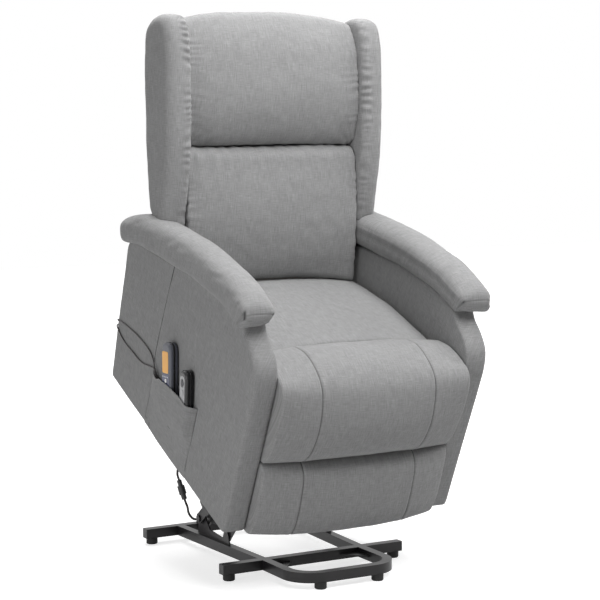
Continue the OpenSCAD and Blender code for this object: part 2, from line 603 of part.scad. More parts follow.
motor_lead();
lead_connector();
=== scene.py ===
import json
import math
import bpy
import numpy as np
from mathutils import Matrix, Vector, noise


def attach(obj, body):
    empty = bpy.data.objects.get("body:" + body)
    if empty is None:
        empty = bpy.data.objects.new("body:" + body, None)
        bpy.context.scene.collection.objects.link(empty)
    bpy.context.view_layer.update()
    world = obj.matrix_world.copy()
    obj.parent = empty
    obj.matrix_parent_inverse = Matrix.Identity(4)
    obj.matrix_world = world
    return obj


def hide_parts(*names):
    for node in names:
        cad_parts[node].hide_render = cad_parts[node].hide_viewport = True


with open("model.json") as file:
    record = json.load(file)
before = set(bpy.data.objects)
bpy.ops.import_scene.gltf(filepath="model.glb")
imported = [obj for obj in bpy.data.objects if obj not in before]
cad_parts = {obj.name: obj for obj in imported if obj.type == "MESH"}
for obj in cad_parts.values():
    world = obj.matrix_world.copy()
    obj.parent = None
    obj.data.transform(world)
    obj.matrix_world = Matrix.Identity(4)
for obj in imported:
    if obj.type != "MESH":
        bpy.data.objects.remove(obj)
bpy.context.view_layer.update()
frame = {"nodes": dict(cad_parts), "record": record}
NODES = frame["nodes"]

# Shared numbers, millimetres as in part.scad
YS = -117.4
CHAIR_Y, CHAIR_Z = -118, 153.3      # lower front corner of the chair frame
HINGE_U, HINGE_V = 675, 350         # recline hinge, in the chair's own coordinates
PANEL_IN, PANEL_OUT = 267.2, 329    # faces of the side panels
WING_IN, WING_OUT = 253.6, 321.5    # faces of the wings
PAD_X, PAD_HALF = 307.5, 52.5       # middle and half width of the arm pads
HANDSET_BACK = -331.6               # back face of both handsets
CORD_R, LEAD_R = 1.75, 3.2          # radius of the handset cords and of the motor lead
TILT = math.radians(24.65)
CT, ST = math.cos(TILT), math.sin(TILT)
RP = (CHAIR_Y + HINGE_U * CT - HINGE_V * ST, CHAIR_Z + HINGE_U * ST + HINGE_V * CT)


def chair_w(p):
    """From the chair's own coordinates (x, depth u, height v) to the scene."""
    p = np.asarray(p, float)
    y = CHAIR_Y + p[..., 1] * CT - p[..., 2] * ST + YS
    z = CHAIR_Z + p[..., 1] * ST + p[..., 2] * CT
    return np.stack([p[..., 0], y, z], -1) / 1000


def back_w(p):
    """From the backrest's coordinates, measured from the recline hinge, to the scene."""
    p = np.asarray(p, float)
    return np.stack([p[..., 0], RP[0] + p[..., 1] + YS, RP[1] + p[..., 2]], -1) / 1000


def world_w(p):
    p = np.asarray(p, float)
    return (p + np.array([0, YS, 0])) / 1000


# ---------------------------------------------------------------- camera
scene = bpy.context.scene
az, el, roll = -0.50775, 0.10183, -0.00367
CAM_AT = (-2.28495, -4.03075, 1.17638)
SENSOR_MM, FOCAL_PX, PHOTO_PX = 36, 1820.818, 600
back_v = np.array([math.sin(az) * math.cos(el), -math.cos(az) * math.cos(el), math.sin(el)])
right = np.array([math.cos(az), math.sin(az), 0])
up = np.cross(back_v, right)
cam_r = math.cos(roll) * right + math.sin(roll) * up
cam_u = -math.sin(roll) * right + math.cos(roll) * up
cam_d = bpy.data.cameras.new("camera")
cam = bpy.data.objects.new("camera", cam_d)
scene.collection.objects.link(cam)
m = Matrix.Identity(4)
for i in range(3):
    m[i][0], m[i][1], m[i][2] = cam_r[i], cam_u[i], back_v[i]
m[0][3], m[1][3], m[2][3] = CAM_AT[0], CAM_AT[1] + YS / 1000, CAM_AT[2]
cam.matrix_world = m
cam_d.sensor_width = SENSOR_MM
cam_d.lens = SENSOR_MM * FOCAL_PX / PHOTO_PX
cam_d.clip_end = 100
scene.camera = cam


# ---------------------------------------------------------------- materials
def new_mat(name):
    mat = bpy.data.materials.new(name)
    mat.use_nodes = True
    nt = mat.node_tree
    return mat, nt, nt.nodes["Principled BSDF"]


def add(nt, kind, **kw):
    n = nt.nodes.new(kind)
    for k, v in kw.items():
        setattr(n, k, v)
    return n


def fabric(name, dark, light, seed=0.0, uv=True):
    mat, nt, bs = new_mat(name)
    L = nt.links.new
    tc = add(nt, "ShaderNodeTexCoord")
    src = tc.outputs["UV"] if uv else tc.outputs["Object"]

    def threads(sx, sy, sz, detail=2.0):
        mp = add(nt, "ShaderNodeMapping")
        mp.inputs["Scale"].default_value = (sx, sy, sz)
        mp.inputs["Location"].default_value = (seed, seed * 0.7, seed * 0.3)
        L(src, mp.inputs["Vector"])
        nz = add(nt, "ShaderNodeTexNoise")
        nz.inputs["Scale"].default_value = 1.0
        nz.inputs["Detail"].default_value = detail
        nz.inputs["Roughness"].default_value = 0.6
        L(mp.outputs[0], nz.inputs["Vector"])
        return nz.outputs["Fac"]

    def mixed(a, b, f):
        mx = add(nt, "ShaderNodeMix")
        mx.inputs["Factor"].default_value = f
        L(a, mx.inputs["A"])
        L(b, mx.inputs["B"])
        return mx.outputs["Result"]
    warp = threads(900, 38, 900)
    weft = threads(38, 800, 38)
    slub = threads(400, 20, 400, 3.0)
    blot = threads(60, 40, 60, 3.0)
    fine = mixed(warp, weft, 0.46)
    body = mixed(mixed(fine, slub, 0.2), blot, 0.12)
    rmp = add(nt, "ShaderNodeValToRGB")
    rmp.color_ramp.elements[0].position = 0.36
    rmp.color_ramp.elements[0].color = (*dark, 1)
    rmp.color_ramp.elements[1].position = 0.64
    rmp.color_ramp.elements[1].color = (*light, 1)
    L(body, rmp.inputs["Fac"])
    # the per-point attribute darkens the cloth towards near-black: dark seam lines, and painted shade
    # inside the slit pleat and tuck of the arm pads
    at = add(nt, "ShaderNodeAttribute", attribute_name="seam_and_pleat_shade")
    dk = add(nt, "ShaderNodeMix", data_type="RGBA")
    dk.inputs["B"].default_value = (dark[0] * 0.16, dark[1] * 0.16, dark[2] * 0.16, 1)
    L(at.outputs["Fac"], dk.inputs["Factor"])
    L(rmp.outputs["Color"], dk.inputs["A"])
    L(dk.outputs["Result"], bs.inputs["Base Color"])
    # woven relief
    wv = add(nt, "ShaderNodeMath", operation="ADD")
    L(warp, wv.inputs[0])
    L(weft, wv.inputs[1])
    bp = add(nt, "ShaderNodeBump")
    bp.inputs["Strength"].default_value = 0.4
    bp.inputs["Distance"].default_value = 0.0006
    L(wv.outputs[0], bp.inputs["Height"])
    L(bp.outputs[0], bs.inputs["Normal"])
    bs.inputs["Roughness"].default_value = 0.95
    bs.inputs["Specular IOR Level"].default_value = 0.12
    bs.inputs["Sheen Weight"].default_value = 0.1
    bs.inputs["Sheen Roughness"].default_value = 0.5
    bs.inputs["Sheen Tint"].default_value = (1, 1, 1, 1)
    return mat


def plain(name, col, rough, spec=0.5, metal=0.0, coat=0.0, grain=900.0, bump=0.05, vary=0.12, dist=0.0004):
    mat, nt, bs = new_mat(name)
    L = nt.links.new
    tc = add(nt, "ShaderNodeTexCoord")
    nz = add(nt, "ShaderNodeTexNoise")
    nz.inputs["Scale"].default_value = grain
    nz.inputs["Detail"].default_value = 3
    L(tc.outputs["Object"], nz.inputs["Vector"])
    big = add(nt, "ShaderNodeTexNoise")
    big.inputs["Scale"].default_value = 14
    big.inputs["Detail"].default_value = 4
    L(tc.outputs["Object"], big.inputs["Vector"])
    rmp = add(nt, "ShaderNodeValToRGB")
    rmp.color_ramp.elements[0].position = 0.3
    rmp.color_ramp.elements[0].color = (*[c * (1 - vary) for c in col], 1)
    rmp.color_ramp.elements[1].position = 0.7
    rmp.color_ramp.elements[1].color = (*[min(1, c * (1 + vary)) for c in col], 1)
    L(big.outputs["Fac"], rmp.inputs["Fac"])
    L(rmp.outputs["Color"], bs.inputs["Base Color"])
    rr = add(nt, "ShaderNodeMapRange")
    rr.inputs["To Min"].default_value = max(0.03, rough - 0.06)
    rr.inputs["To Max"].default_value = min(1, rough + 0.08)
    L(big.outputs["Fac"], rr.inputs["Value"])
    L(rr.outputs[0], bs.inputs["Roughness"])
    bp = add(nt, "ShaderNodeBump")
    bp.inputs["Strength"].default_value = bump
    bp.inputs["Distance"].default_value = dist
    L(nz.outputs["Fac"], bp.inputs["Height"])
    L(bp.outputs[0], bs.inputs["Normal"])
    bs.inputs["Metallic"].default_value = metal
    bs.inputs["Specular IOR Level"].default_value = spec
    bs.inputs["Coat Weight"].default_value = coat
    bs.inputs["Coat Roughness"].default_value = 0.15
    return mat


GREY_DARK, GREY_LIGHT = (0.2, 0.2, 0.201), (0.36, 0.36, 0.361)
CLOTH = fabric("cloth_grey", GREY_DARK, GREY_LIGHT)
CLOTH_B = fabric("cloth_grey_body", GREY_DARK, GREY_LIGHT, 3.1)
STEEL = plain("black_powder_coat", (0.012, 0.011, 0.012), 0.34, 0.32, coat=0.0,
              grain=700, bump=0.12, vary=0.25)
RUBBER = plain("rubber_foot", (0.02, 0.02, 0.02), 0.7, 0.3, grain=500, bump=0.2)
PLASTIC = plain("black_plastic", (0.022, 0.022, 0.023), 0.42, 0.45, grain=1500, bump=0.15)
GLOSS = plain("gloss_black", (0.008, 0.008, 0.009), 0.24, 0.3, coat=0.15, grain=60, bump=0.02)
SLATE = plain("slate_grey", (0.085, 0.09, 0.11), 0.38, 0.4, grain=1500, bump=0.1)
SILVER = plain("silver_face", (0.33, 0.33, 0.34), 0.4, 0.5, metal=0.2, grain=1200, bump=0.05)
AMBER = plain("amber_panel", (0.86, 0.42, 0.07), 0.35, 0.4, grain=400, bump=0.03, vary=0.06)
NAVY = plain("navy_panel", (0.03, 0.035, 0.09), 0.3, 0.5, grain=400, bump=0.03)
WHITE = plain("white_mark", (0.8, 0.8, 0.8), 0.5, 0.3, grain=400, bump=0.03, vary=0.03)
BUTTON = plain("button_grey", (0.04, 0.04, 0.045), 0.5, 0.4, grain=1500, bump=0.1)
CORD = plain("cord_sheath", (0.02, 0.015, 0.015), 0.45, 0.4, grain=1800, bump=0.1)
BRIGHT = plain("bright_rod", (0.5, 0.5, 0.52), 0.25, 0.5, metal=1.0, grain=2200, bump=0.06)


def wood_mat():
    mat, nt, bs = new_mat("plywood")
    L = nt.links.new
    tc = add(nt, "ShaderNodeTexCoord")
    mp = add(nt, "ShaderNodeMapping")
    mp.inputs["Scale"].default_value = (6, 60, 60)
    nz = add(nt, "ShaderNodeTexNoise")
    nz.inputs["Scale"].default_value = 1.5
    nz.inputs["Detail"].default_value = 6
    L(tc.outputs["Object"], mp.inputs["Vector"])
    L(mp.outputs[0], nz.inputs["Vector"])
    rmp = add(nt, "ShaderNodeValToRGB")
    rmp.color_ramp.elements[0].position = 0.3
    rmp.color_ramp.elements[0].color = (0.33, 0.2, 0.1, 1)
    rmp.color_ramp.elements[1].position = 0.7
    rmp.color_ramp.elements[1].color = (0.56, 0.39, 0.22, 1)
    L(nz.outputs["Fac"], rmp.inputs["Fac"])
    L(rmp.outputs["Color"], bs.inputs["Base Color"])
    bp = add(nt, "ShaderNodeBump")
    bp.inputs["Strength"].default_value = 0.2
    bp.inputs["Distance"].default_value = 0.0005
    L(nz.outputs["Fac"], bp.inputs["Height"])
    L(bp.outputs[0], bs.inputs["Normal"])
    bs.inputs["Roughness"].default_value = 0.7
    return mat


WOOD = wood_mat()
WEB = fabric("black_underlining", (0.012, 0.012, 0.012), (0.03, 0.03, 0.03), 5.0, uv=False)
# near-black cloth for the tubes that paint the shade in the side panels' seam grooves
SEAM_SHADE_MAT = fabric("seam_shadow", (0.035, 0.035, 0.035), (0.06, 0.06, 0.06), 7.0)
WRAP = fabric("board_wrap", GREY_DARK, GREY_LIGHT, 3.1, uv=False)
SLOT_MAT = {"steel": STEEL, "rubber": RUBBER, "plastic": PLASTIC, "timber": WOOD, "webbing": WEB,
            "bright": BRIGHT, "button": BUTTON, "amber": AMBER, "slate": SLATE, "gloss_black": GLOSS,
            "cord": CORD, "cloth": CLOTH, "cloth_body": CLOTH_B}
for sp in frame["record"]["subparts"]:
    ob = NODES[sp["node"]]
    mt = SLOT_MAT[sp["material_slot"]]
    if ob.material_slots:
        for s in ob.material_slots:
            s.material = mt
    else:
        ob.data.materials.append(mt)
# the boards of the back and the footrest are wrapped in the cover cloth
for nd, mt in (("massage_button", WHITE), ("lift_button_down", SILVER), ("back_board", WRAP),
               ("footrest_board", WRAP)):
    for s in NODES[nd].material_slots:
        s.material = mt


# ---------------------------------------------------------------- mesh helpers
def bends(p, n=8):
    out = []
    k = len(p)
    for i in range(k):
        b = np.array(p[i][:2], float)
        r = p[i][2]
        a = np.array(p[i - 1][:2], float)
        c = np.array(p[(i + 1) % k][:2], float)
        if r == 0:
            out.append(b)
            continue
        la, lc = np.linalg.norm(a - b), np.linalg.norm(c - b)
        s = b + (a - b) / la * min(r, la * 0.48)
        e = b + (c - b) / lc * min(r, lc * 0.48)
        for j in range(n + 1):
            t = j / n
            out.append(s * (1 - t) ** 2 + b * 2 * t * (1 - t) + e * t * t)
    return np.array(out)


def ccw(p):
    x, y = p[:, 0], p[:, 1]
    a = np.sum(x * np.roll(y, -1) - np.roll(x, -1) * y)
    return p if a > 0 else p[::-1]


def resample(p, n):
    q = np.vstack([p, p[:1]])
    d = np.r_[0, np.cumsum(np.linalg.norm(np.diff(q, axis=0), axis=1))]
    t = np.linspace(0, d[-1], n, endpoint=False)
    return np.stack([np.interp(t, d, q[:, 0]), np.interp(t, d, q[:, 1])], 1)


def paired(e, m_, n):
    # same parameter for edge and middle outlines: resample both by the mean arc length
    def seg(p):
        return np.linalg.norm(np.roll(p, -1, 0) - p, axis=1)
    w = (seg(e) + seg(m_)) / 2
    d = np.r_[0, np.cumsum(w)]
    t = np.linspace(0, d[-1], n, endpoint=False)
    def go(p):
        q = np.vstack([p, p[:1]])
        return np.stack([np.interp(t, d, q[:, 0]), np.interp(t, d, q[:, 1])], 1)
    return go(e), go(m_)


def inset(p, d):
    t = np.roll(p, -1, 0) - np.roll(p, 1, 0)
    t /= np.maximum(np.linalg.norm(t, axis=1, keepdims=True), 1e-9)
    nrm = np.stack([-t[:, 1], t[:, 0]], 1)
    return p + nrm * (d if np.isscalar(d) else d[:, None])


def smooth(t):
    t = np.clip(t, 0, 1)
    return t * t * (3 - 2 * t)


def nz(p, scale, seed=0.0):
    q = np.asarray(p).reshape(-1, 3) * scale
    r = np.array([noise.noise(Vector((a + seed, b + seed * 1.7, c - seed))) for a, b, c in q])
    return r.reshape(np.asarray(p).shape[:-1])


UPRIGHT = np.array([1, 1, 0.2])   # draws noise out along the height


def grid_normals(P):
    du = np.roll(P, -1, 1) - np.roll(P, 1, 1)
    dj = np.gradient(P, axis=0)
    n = np.cross(du, dj)
    if ((P - P.mean((0, 1))) * n).sum() < 0:
        n = -n
    n /= np.maximum(np.linalg.norm(n, axis=-1, keepdims=True), 1e-9)
    return n


def make(name, P, to_world, mat, body, slot_name, repl=(), seam_and_pleat_shade=None, uvs=None, fill=None):
    """Grid of points P[j][i], closed along i, capped at both ends along j."""
    J, I = P.shape[:2]
    V = list(map(tuple, to_world(P).reshape(-1, 3)))
    F = []
    for j in range(J - 1):
        for i in range(I):
            k = (i + 1) % I
            F.append((j * I + i, j * I + k, (j + 1) * I + k, (j + 1) * I + i))
    for j in (0, J - 1):
        c = to_world(P[j].mean(0))
        V.append(tuple(c))
        hub = len(V) - 1
        for i in range(I):
            k = (i + 1) % I
            F.append((hub, j * I + k, j * I + i) if j == 0 else (hub, j * I + i, j * I + k))
    A = np.array(V)
    A = A - A.mean(0)
    vol = sum(float(np.dot(A[f[0]], np.cross(A[f[i]], A[f[i + 1]])))
              for f in F for i in range(1, len(f) - 1))
    if vol < 0:
        F = [f[::-1] for f in F]
    me = bpy.data.meshes.new(name)
    me.from_pydata(V, [], F)
    me.update()
    for p in me.polygons:
        p.use_smooth = True
    if seam_and_pleat_shade is None:
        seam_and_pleat_shade = np.zeros((J, I))
    # darkening per point: seam lines, and painted shade in the arm pads' pleat and tuck
    at = me.attributes.new("seam_and_pleat_shade", "FLOAT", "POINT")
    vals = np.zeros(len(V))
    vals[:J * I] = seam_and_pleat_shade.reshape(-1)
    at.data.foreach_set("value", vals.astype(np.float32))
    # metre UVs: along the rows and along the outline
    if uvs is None:
        d_i = np.linalg.norm(np.diff(np.concatenate([P, P[:, :1]], 1), axis=1), axis=-1)
        ui = np.concatenate([np.zeros((J, 1)), np.cumsum(d_i, 1)], 1).mean(0) / 1000
        d_j = np.linalg.norm(np.diff(P, axis=0), axis=-1)
        vj = np.concatenate([np.zeros((1, I)), np.cumsum(d_j, 0)], 0).mean(1) / 1000
        U = np.stack(np.broadcast_arrays(vj[:, None], ui[None, :]), -1)
    else:
        U = uvs
    uvl = me.uv_layers.new(name="UVMap")
    co = np.zeros((len(me.loops), 2), np.float32)
    li = 0
    nI = U.shape[1]
    for f in me.polygons:
        idx = list(f.vertices)
        for v in idx:
            if v < J * I:
                j, i = divmod(v, I)
                ii = i
                if nI > I and i == 0 and any(w < J * I and w % I == I - 1 for w in idx):
                    ii = I
                co[li] = U[j, ii]
            else:
                co[li] = (0, 0)
            li += 1
    uvl.data.foreach_set("uv", co.reshape(-1))
    ob = bpy.data.objects.new(name, me)
    scene.collection.objects.link(ob)
    me.materials.append(mat)
    if repl:
        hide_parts(*repl)
    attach(ob, body)
    return ob


def ring_xs(half, n_mid, roll=14.0):
    """Row positions over the width, dense where the ends roll over, with insets in mm."""
    xs, ins = [], []
    for a in np.linspace(0, math.pi / 2, 8):
        xs.append(-half + roll * (1 - math.cos(a)))
        ins.append(roll * (1 - math.sin(a)))
    for x in np.linspace(-half + roll, half - roll, n_mid + 2)[1:-1]:
        xs.append(x)
        ins.append(0)
    for a in np.linspace(math.pi / 2, 0, 8):
        xs.append(half - roll * (1 - math.cos(a)))
        ins.append(roll * (1 - math.sin(a)))
    return np.array(xs), np.array(ins)


def cushion_grid(edge, middle, half, roll=14, n=190, n_mid=84, power=2.6, extra=()):
    e = ccw(bends(edge))
    m_ = ccw(bends(middle))
    e, m_ = paired(e, m_, n)
    xs, ins = ring_xs(half, n_mid, roll)
    for x0 in extra:
        add_x = np.array([x0 - 5, x0 - 2.4, x0 - 1.0, x0, x0 + 1.0, x0 + 2.4, x0 + 5])
        keep = np.abs(xs - x0) > 6.5
        xs = np.r_[xs[keep], add_x]
        ins = np.r_[ins[keep], np.zeros(7)]
    o = np.argsort(xs)
    xs, ins = xs[o], ins[o]
    P = np.zeros((len(xs), n, 3))
    for j, x in enumerate(xs):
        f = 1 - abs(x / half) ** power
        q = e * (1 - f) + m_ * f
        q = inset(q, ins[j])
        P[j, :, 0] = x
        P[j, :, 1:] = q
    return P


def groove(x, x0, depth, w=1.7):
    return -depth * np.exp(-((x - x0) / w) ** 2) + 0.5 * depth * np.exp(-((np.abs(x - x0) - 7) / 5) ** 2)


def line(x, x0, w=0.9, k=0.85):
    return k * np.exp(-((x - x0) / w) ** 2)


def gathers(p, pitch, seed):
    """Short creases across an upright seam, uneven in pitch and strength."""
    wob = nz(p * np.array([0.3, 0.3, 1]), 0.014, seed)
    return np.sin(p[..., 2] * 2 * math.pi / pitch + 13 * wob) * (0.1 + 1.9 * np.abs(nz(p, 0.009, seed + 3)))


def soft(name, P, to_world, mat, body, slot_name, repl, seam_and_pleat_shade=None, fill=0.7, **kw):
    return make(name, P, to_world, mat, body, slot_name, repl, seam_and_pleat_shade=seam_and_pleat_shade, fill=fill, **kw)


# ---------------------------------------------------------------- cushions
seat_edge = [
    [142, 330, 6], [142, 404, 14], [168, 411, 20], [368, 402, 60], [530, 374, 40], [590, 356, 14],
    [592, 316, 6], [570, 312.4, 6], [160, 312.4, 6]
]
seat_mid = [
    [142, 330, 6], [140, 444, 14], [180, 443, 20], [368, 427, 60], [530, 396, 40], [588, 372, 14],
    [592, 316, 6], [570, 312.4, 6], [160, 312.4, 6]
]
P = cushion_grid(seat_edge, seat_mid, 262, 10)
a = 1.6 * nz(P, 0.011, 3.0) + 0.5 * nz(P, 0.05, 8.0)
top = smooth((P[..., 2] - 380) / 20)
P = P + grid_normals(P) * (a * top)[..., None]
soft("seat_cushion_cover", P, chair_w, CLOTH, "chair", "cloth", ["seat_cushion"])

roll_edge = [
    [139.6, 409, 5], [46, 407, 5], [40.3, 395, 4], [40.3, 206.5, 5], [-8, 206, 10], [-26, 240, 30],
    [-40, 320, 60], [-38, 400, 30], [-20, 434, 30], [26, 444, 30], [84, 446, 26], [138, 432, 10]
]
roll_mid = [
    [139.6, 409, 5], [46, 407, 5], [40.3, 395, 4], [40.3, 206.5, 5], [-18, 206, 16], [-52, 242, 30],
    [-69, 315, 50], [-54, 380, 50], [-30, 426, 40], [14, 455, 36], [80, 467, 26], [139, 446, 10]
]
SEAM_X = 160
P = cushion_grid(roll_edge, roll_mid, 265.4, 6, n=220, extra=(-SEAM_X, SEAM_X))
front = smooth((40 - P[..., 1]) / 20) + smooth((P[..., 2] - 420) / 12)
front = np.clip(front, 0, 1)
a = (1.5 * nz(P, 0.012, 1.0) + 0.45 * nz(P, 0.05, 6.0)) * front
g = (groove(P[..., 0], -SEAM_X, 2.0) + groove(P[..., 0], SEAM_X, 2.0)) * front
seam_and_pleat_shade = (line(P[..., 0], -SEAM_X) + line(P[..., 0], SEAM_X)) * front
P = P + grid_normals(P) * (a + g)[..., None]
soft("footrest_roll_cover", P, chair_w, CLOTH, "footrest", "cloth", ["footrest_roll"], seam_and_pleat_shade=seam_and_pleat_shade)

low_edge = [
    [40.3, 203, 5], [-8, 203, 10], [-22, 182, 24], [-28, 120, 40], [-30, 46, 30], [-22, 8, 16],
    [-5, -2.5, 10], [40.3, -2.5, 5]
]
low_mid = [
    [40.3, 203, 5], [-20, 203, 16], [-50, 180, 26], [-62, 120, 40], [-68, 46, 36], [-52, 4, 18],
    [-12, -2.5, 14], [40.3, -2.5, 5]
]
P = cushion_grid(low_edge, low_mid, 265.4, 6, n=170, extra=(-SEAM_X, SEAM_X))
front = smooth((30 - P[..., 1]) / 20)
a = (1.2 * nz(P, 0.013, 2.0) + 0.4 * nz(P, 0.05, 5.0)) * front
g = (groove(P[..., 0], -SEAM_X, 1.8) + groove(P[..., 0], SEAM_X, 1.8)) * front
seam_and_pleat_shade = (line(P[..., 0], -SEAM_X) + line(P[..., 0], SEAM_X)) * front
P = P + grid_normals(P) * (a + g)[..., None]
soft("footrest_pad_cover", P, chair_w, CLOTH_B, "footrest", "cloth", ["footrest_pad"], seam_and_pleat_shade=seam_and_pleat_shade)

lum_edge = [
    [-30.4, 22, 4], [-62, 4, 10], [-116, -39, 20], [-132, 40, 40], [-138, 140, 60], [-138, 230, 60],
    [-132, 324, 16], [-104, 340, 12], [-30.4, 341, 4]
]
lum_mid = [
    [-30.4, 32, 4], [-62, 12, 10], [-118, -21, 26], [-143, 34, 50], [-155, 110, 60],
    [-154, 220, 60], [-141, 322, 20], [-108, 340, 12], [-30.4, 341, 4]
]
P = cushion_grid(lum_edge, lum_mid, 254, 4, n=190)
q = P[..., 2]
fr = smooth((-60 - P[..., 1]) / 20)
edge_t = np.exp(-np.maximum(336 - q, 0) / 34)
puck = (np.sin(P[..., 0] * 0.15 + 0.03 * q + 3 * nz(P * UPRIGHT, 0.015, 4.0))
        * (0.4 + 1.2 * np.abs(nz(P, 0.012, 9.0))))
side = np.exp(-np.maximum(253 - np.abs(P[..., 0]), 0) / 20)
a = (3.0 * nz(P, 0.007, 5.0) + 0.9 * nz(P, 0.03, 2.0) + 2.4 * puck * edge_t
     + 1.1 * side * (1 + 1.6 * smooth((120 - q) / 60)) * gathers(P, 27, 12.0)) * fr
# scalloped side edges where the cover is drawn to the frame
near_end = np.exp(-np.maximum(254 - np.abs(P[..., 0]), 0) / 9)
P[..., 0] -= np.sign(P[..., 0]) * 2.2 * (0.5 + 0.5 * np.sin(q * 0.14)) * near_end * fr
P = P + grid_normals(P) * a[..., None]
soft("lumbar_cushion_cover", P, back_w, CLOTH, "backrest", "cloth", ["lumbar_cushion"])

head_edge = [
    [-30.4, 342, 4], [-106, 342, 12], [-126, 362, 26], [-144, 420, 50], [-150, 490, 60],
    [-139, 600, 50], [-98, 666, 26], [-30.4, 666, 8]
]
head_mid = [
    [-30.4, 342, 4], [-108, 341.5, 14], [-138, 364, 34], [-163, 424, 60], [-168, 500, 60],
    [-150, 622, 50], [-100, 694, 34], [-30.4, 691, 8]
]
P = cushion_grid(head_edge, head_mid, 254, 5, n=200)
q = P[..., 2]
fr = smooth((-50 - P[..., 1]) / 20)
edge_b = np.exp(-np.maximum(q - 342, 0) / 30)
puck = (np.sin(P[..., 0] * 0.14 + 3 * nz(P * UPRIGHT, 0.015, 14.0))
        * (0.3 + 1.2 * np.abs(nz(P, 0.012, 19.0))))
side = np.exp(-np.maximum(253 - np.abs(P[..., 0]), 0) / 24)
corner = np.exp(-(np.hypot(np.abs(P[..., 0]) - 250, q - 346) / 52) ** 2)
rad = np.sin(np.arctan2(q - 330, 262 - np.abs(P[..., 0])) * 17)
a = (3.6 * nz(P, 0.007, 15.0) + 0.9 * nz(P, 0.03, 12.0) + 1.3 * puck * edge_b
     + 1.9 * side * gathers(P, 23, 22.0) + 2.2 * corner * rad) * fr
P = P + grid_normals(P) * a[..., None]
soft("headrest_cushion_cover", P, back_w, CLOTH, "backrest", "cloth", ["headrest_cushion"])


# ---------------------------------------------------------------- padded slabs
def dist_poly(p, poly):
    a_ = poly
    b_ = np.roll(poly, -1, 0)
    ab = b_ - a_
    ap = p[:, None, :] - a_[None]
    t = np.clip((ap * ab).sum(-1) / np.maximum((ab ** 2).sum(-1), 1e-9), 0, 1)
    return np.sqrt((((ap - ab * t[..., None])) ** 2).sum(-1)).min(1)


ROWS = np.array([0, .004, .009, .015, .022, .03, .04, .054, .072, .095, .125, .16, .2, .25, .31, .38,
                 .46, .55, .65, .76, .88, .97])


def slab_grid(outline, x_in, x_out, r_out=12, r_in=8, crown=2.0, n=260, walls=7, rows=ROWS):
    """Rows from the middle of the inner face round the edge to the middle of the outer face."""
    o = resample(ccw(bends(outline)), n)
    c = o.mean(0)
    s = 1 if x_out > x_in else -1
    out = []
    for xf, r, sg in ((x_in, r_in, -s), (x_out, r_out, s)):
        part = []
        for t in rows:
            q = c + (o - c) * (1 - t)
            d = dist_poly(q, o)
            dd = np.clip(d / r, 0, 1)
            x = xf - sg * (r - r * np.sqrt(np.clip(1 - (1 - dd) ** 2, 0, 1))) + sg * crown * smooth(d / 70)
            part.append(np.column_stack([x, q]))
        out.append(part)
    rows_in = out[0][::-1]
    x0, x1 = x_in + s * r_in, x_out - s * r_out
    mid = [np.column_stack([np.full(n, x0 + (x1 - x0) * (k + 1) / (walls + 1)), o]) for k in range(walls)]
    return np.array(rows_in + mid + out[1]), o


def slab_uv(P):
    u = (P[..., 1] - P[..., 0]) / 1000
    v = P[..., 2] / 1000
    U = np.stack([u, v], -1)
    return np.concatenate([U, U[:, :1]], 1)


panel_line = [
    [0, 0, 12], [742, 0, 12], [783, 381, 5], [777, 405, 4], [715, 429, 30], [638, 447, 30],
    [561, 466, 30], [482, 488, 30], [380, 515, 40], [212, 539, 50], [112, 534, 10], [92, 514, 12],
    [50, 498, 24], [12, 468, 30], [0, 420, 30]
]


for side_s, nm in ((-1, "left"), (1, "right")):
    P, o = slab_grid(panel_line, side_s * PANEL_IN, side_s * PANEL_OUT, r_out=11, r_in=7, crown=0.8, n=300)
    outer = smooth((np.abs(P[..., 0]) - 318) / 8)
    a = (1.0 * nz(P, 0.008, 31.0 + side_s) + 0.35 * nz(P, 0.04, 33.0)) * outer
    # one faint seam along the outer edge of the front strip
    frontish = smooth((110 - P[..., 1]) / 30) * smooth((P[..., 2] - 2) / 6)
    x = np.abs(P[..., 0])
    dpo = dist_poly(P[..., 1:].reshape(-1, 2), o).reshape(P.shape[:-1])
    seam_and_pleat_shade = 0.12 * np.exp(-((x - 321) / 2.5) ** 2) * frontish * (dpo < 8)
    P[..., 0] += side_s * a
    make("side_panel_cover_" + nm, P, chair_w, CLOTH_B, "chair", "cloth_body", ["side_panel_" + nm],
         seam_and_pleat_shade=seam_and_pleat_shade, uvs=slab_uv(P), fill=0.9)

wing_line = [
    [-60, 132, 4], [-26, 176, 16], [-10, 320, 50], [-8, 461, 60], [-8, 565, 50], [-12, 640, 24],
    [-48, 672, 30], [-104.6, 682, 30], [-150, 670, 26], [-170, 612, 40], [-177, 500, 60],
    [-174, 353, 60], [-155, 244, 40], [-128, 132, 4]
]
for side_s, nm in ((-1, "left"), (1, "right")):
    P, _ = slab_grid(wing_line, side_s * WING_IN, side_s * WING_OUT, r_out=30, r_in=18, crown=1.5,
                     n=280, walls=3)
    a = 2.4 * nz(P, 0.009, 41.0 + side_s) + 0.8 * nz(P, 0.035, 43.0)
    edge = np.exp(-np.maximum(P[..., 2] - 171, 0) / 18)
    a = a + 1.0 * edge * nz(P, 0.06, 47.0)
    ax = np.abs(P[..., 0])
    P[..., 0] += side_s * a * smooth((ax - 262) / 10)
    inner = smooth((288 - ax) / 22) * smooth((-40 - P[..., 1]) / 30)
    pull = 1.2 * nz(P, 0.012, 45.0) + 2.8 * inner * gathers(P, 21, 49.0)
    P[..., 1] -= pull * smooth((-60 - P[..., 1]) / 40)
    floor_q = 160.5 + 0.16 * (P[..., 1] + 60) - 20 * smooth((292 - ax) / 38)
    P[..., 2] = np.maximum(P[..., 2], floor_q)
    make("wing_cover_" + nm, P, back_w, CLOTH, "backrest", "cloth", ["wing_" + nm],
         uvs=slab_uv(P), fill=0.8)


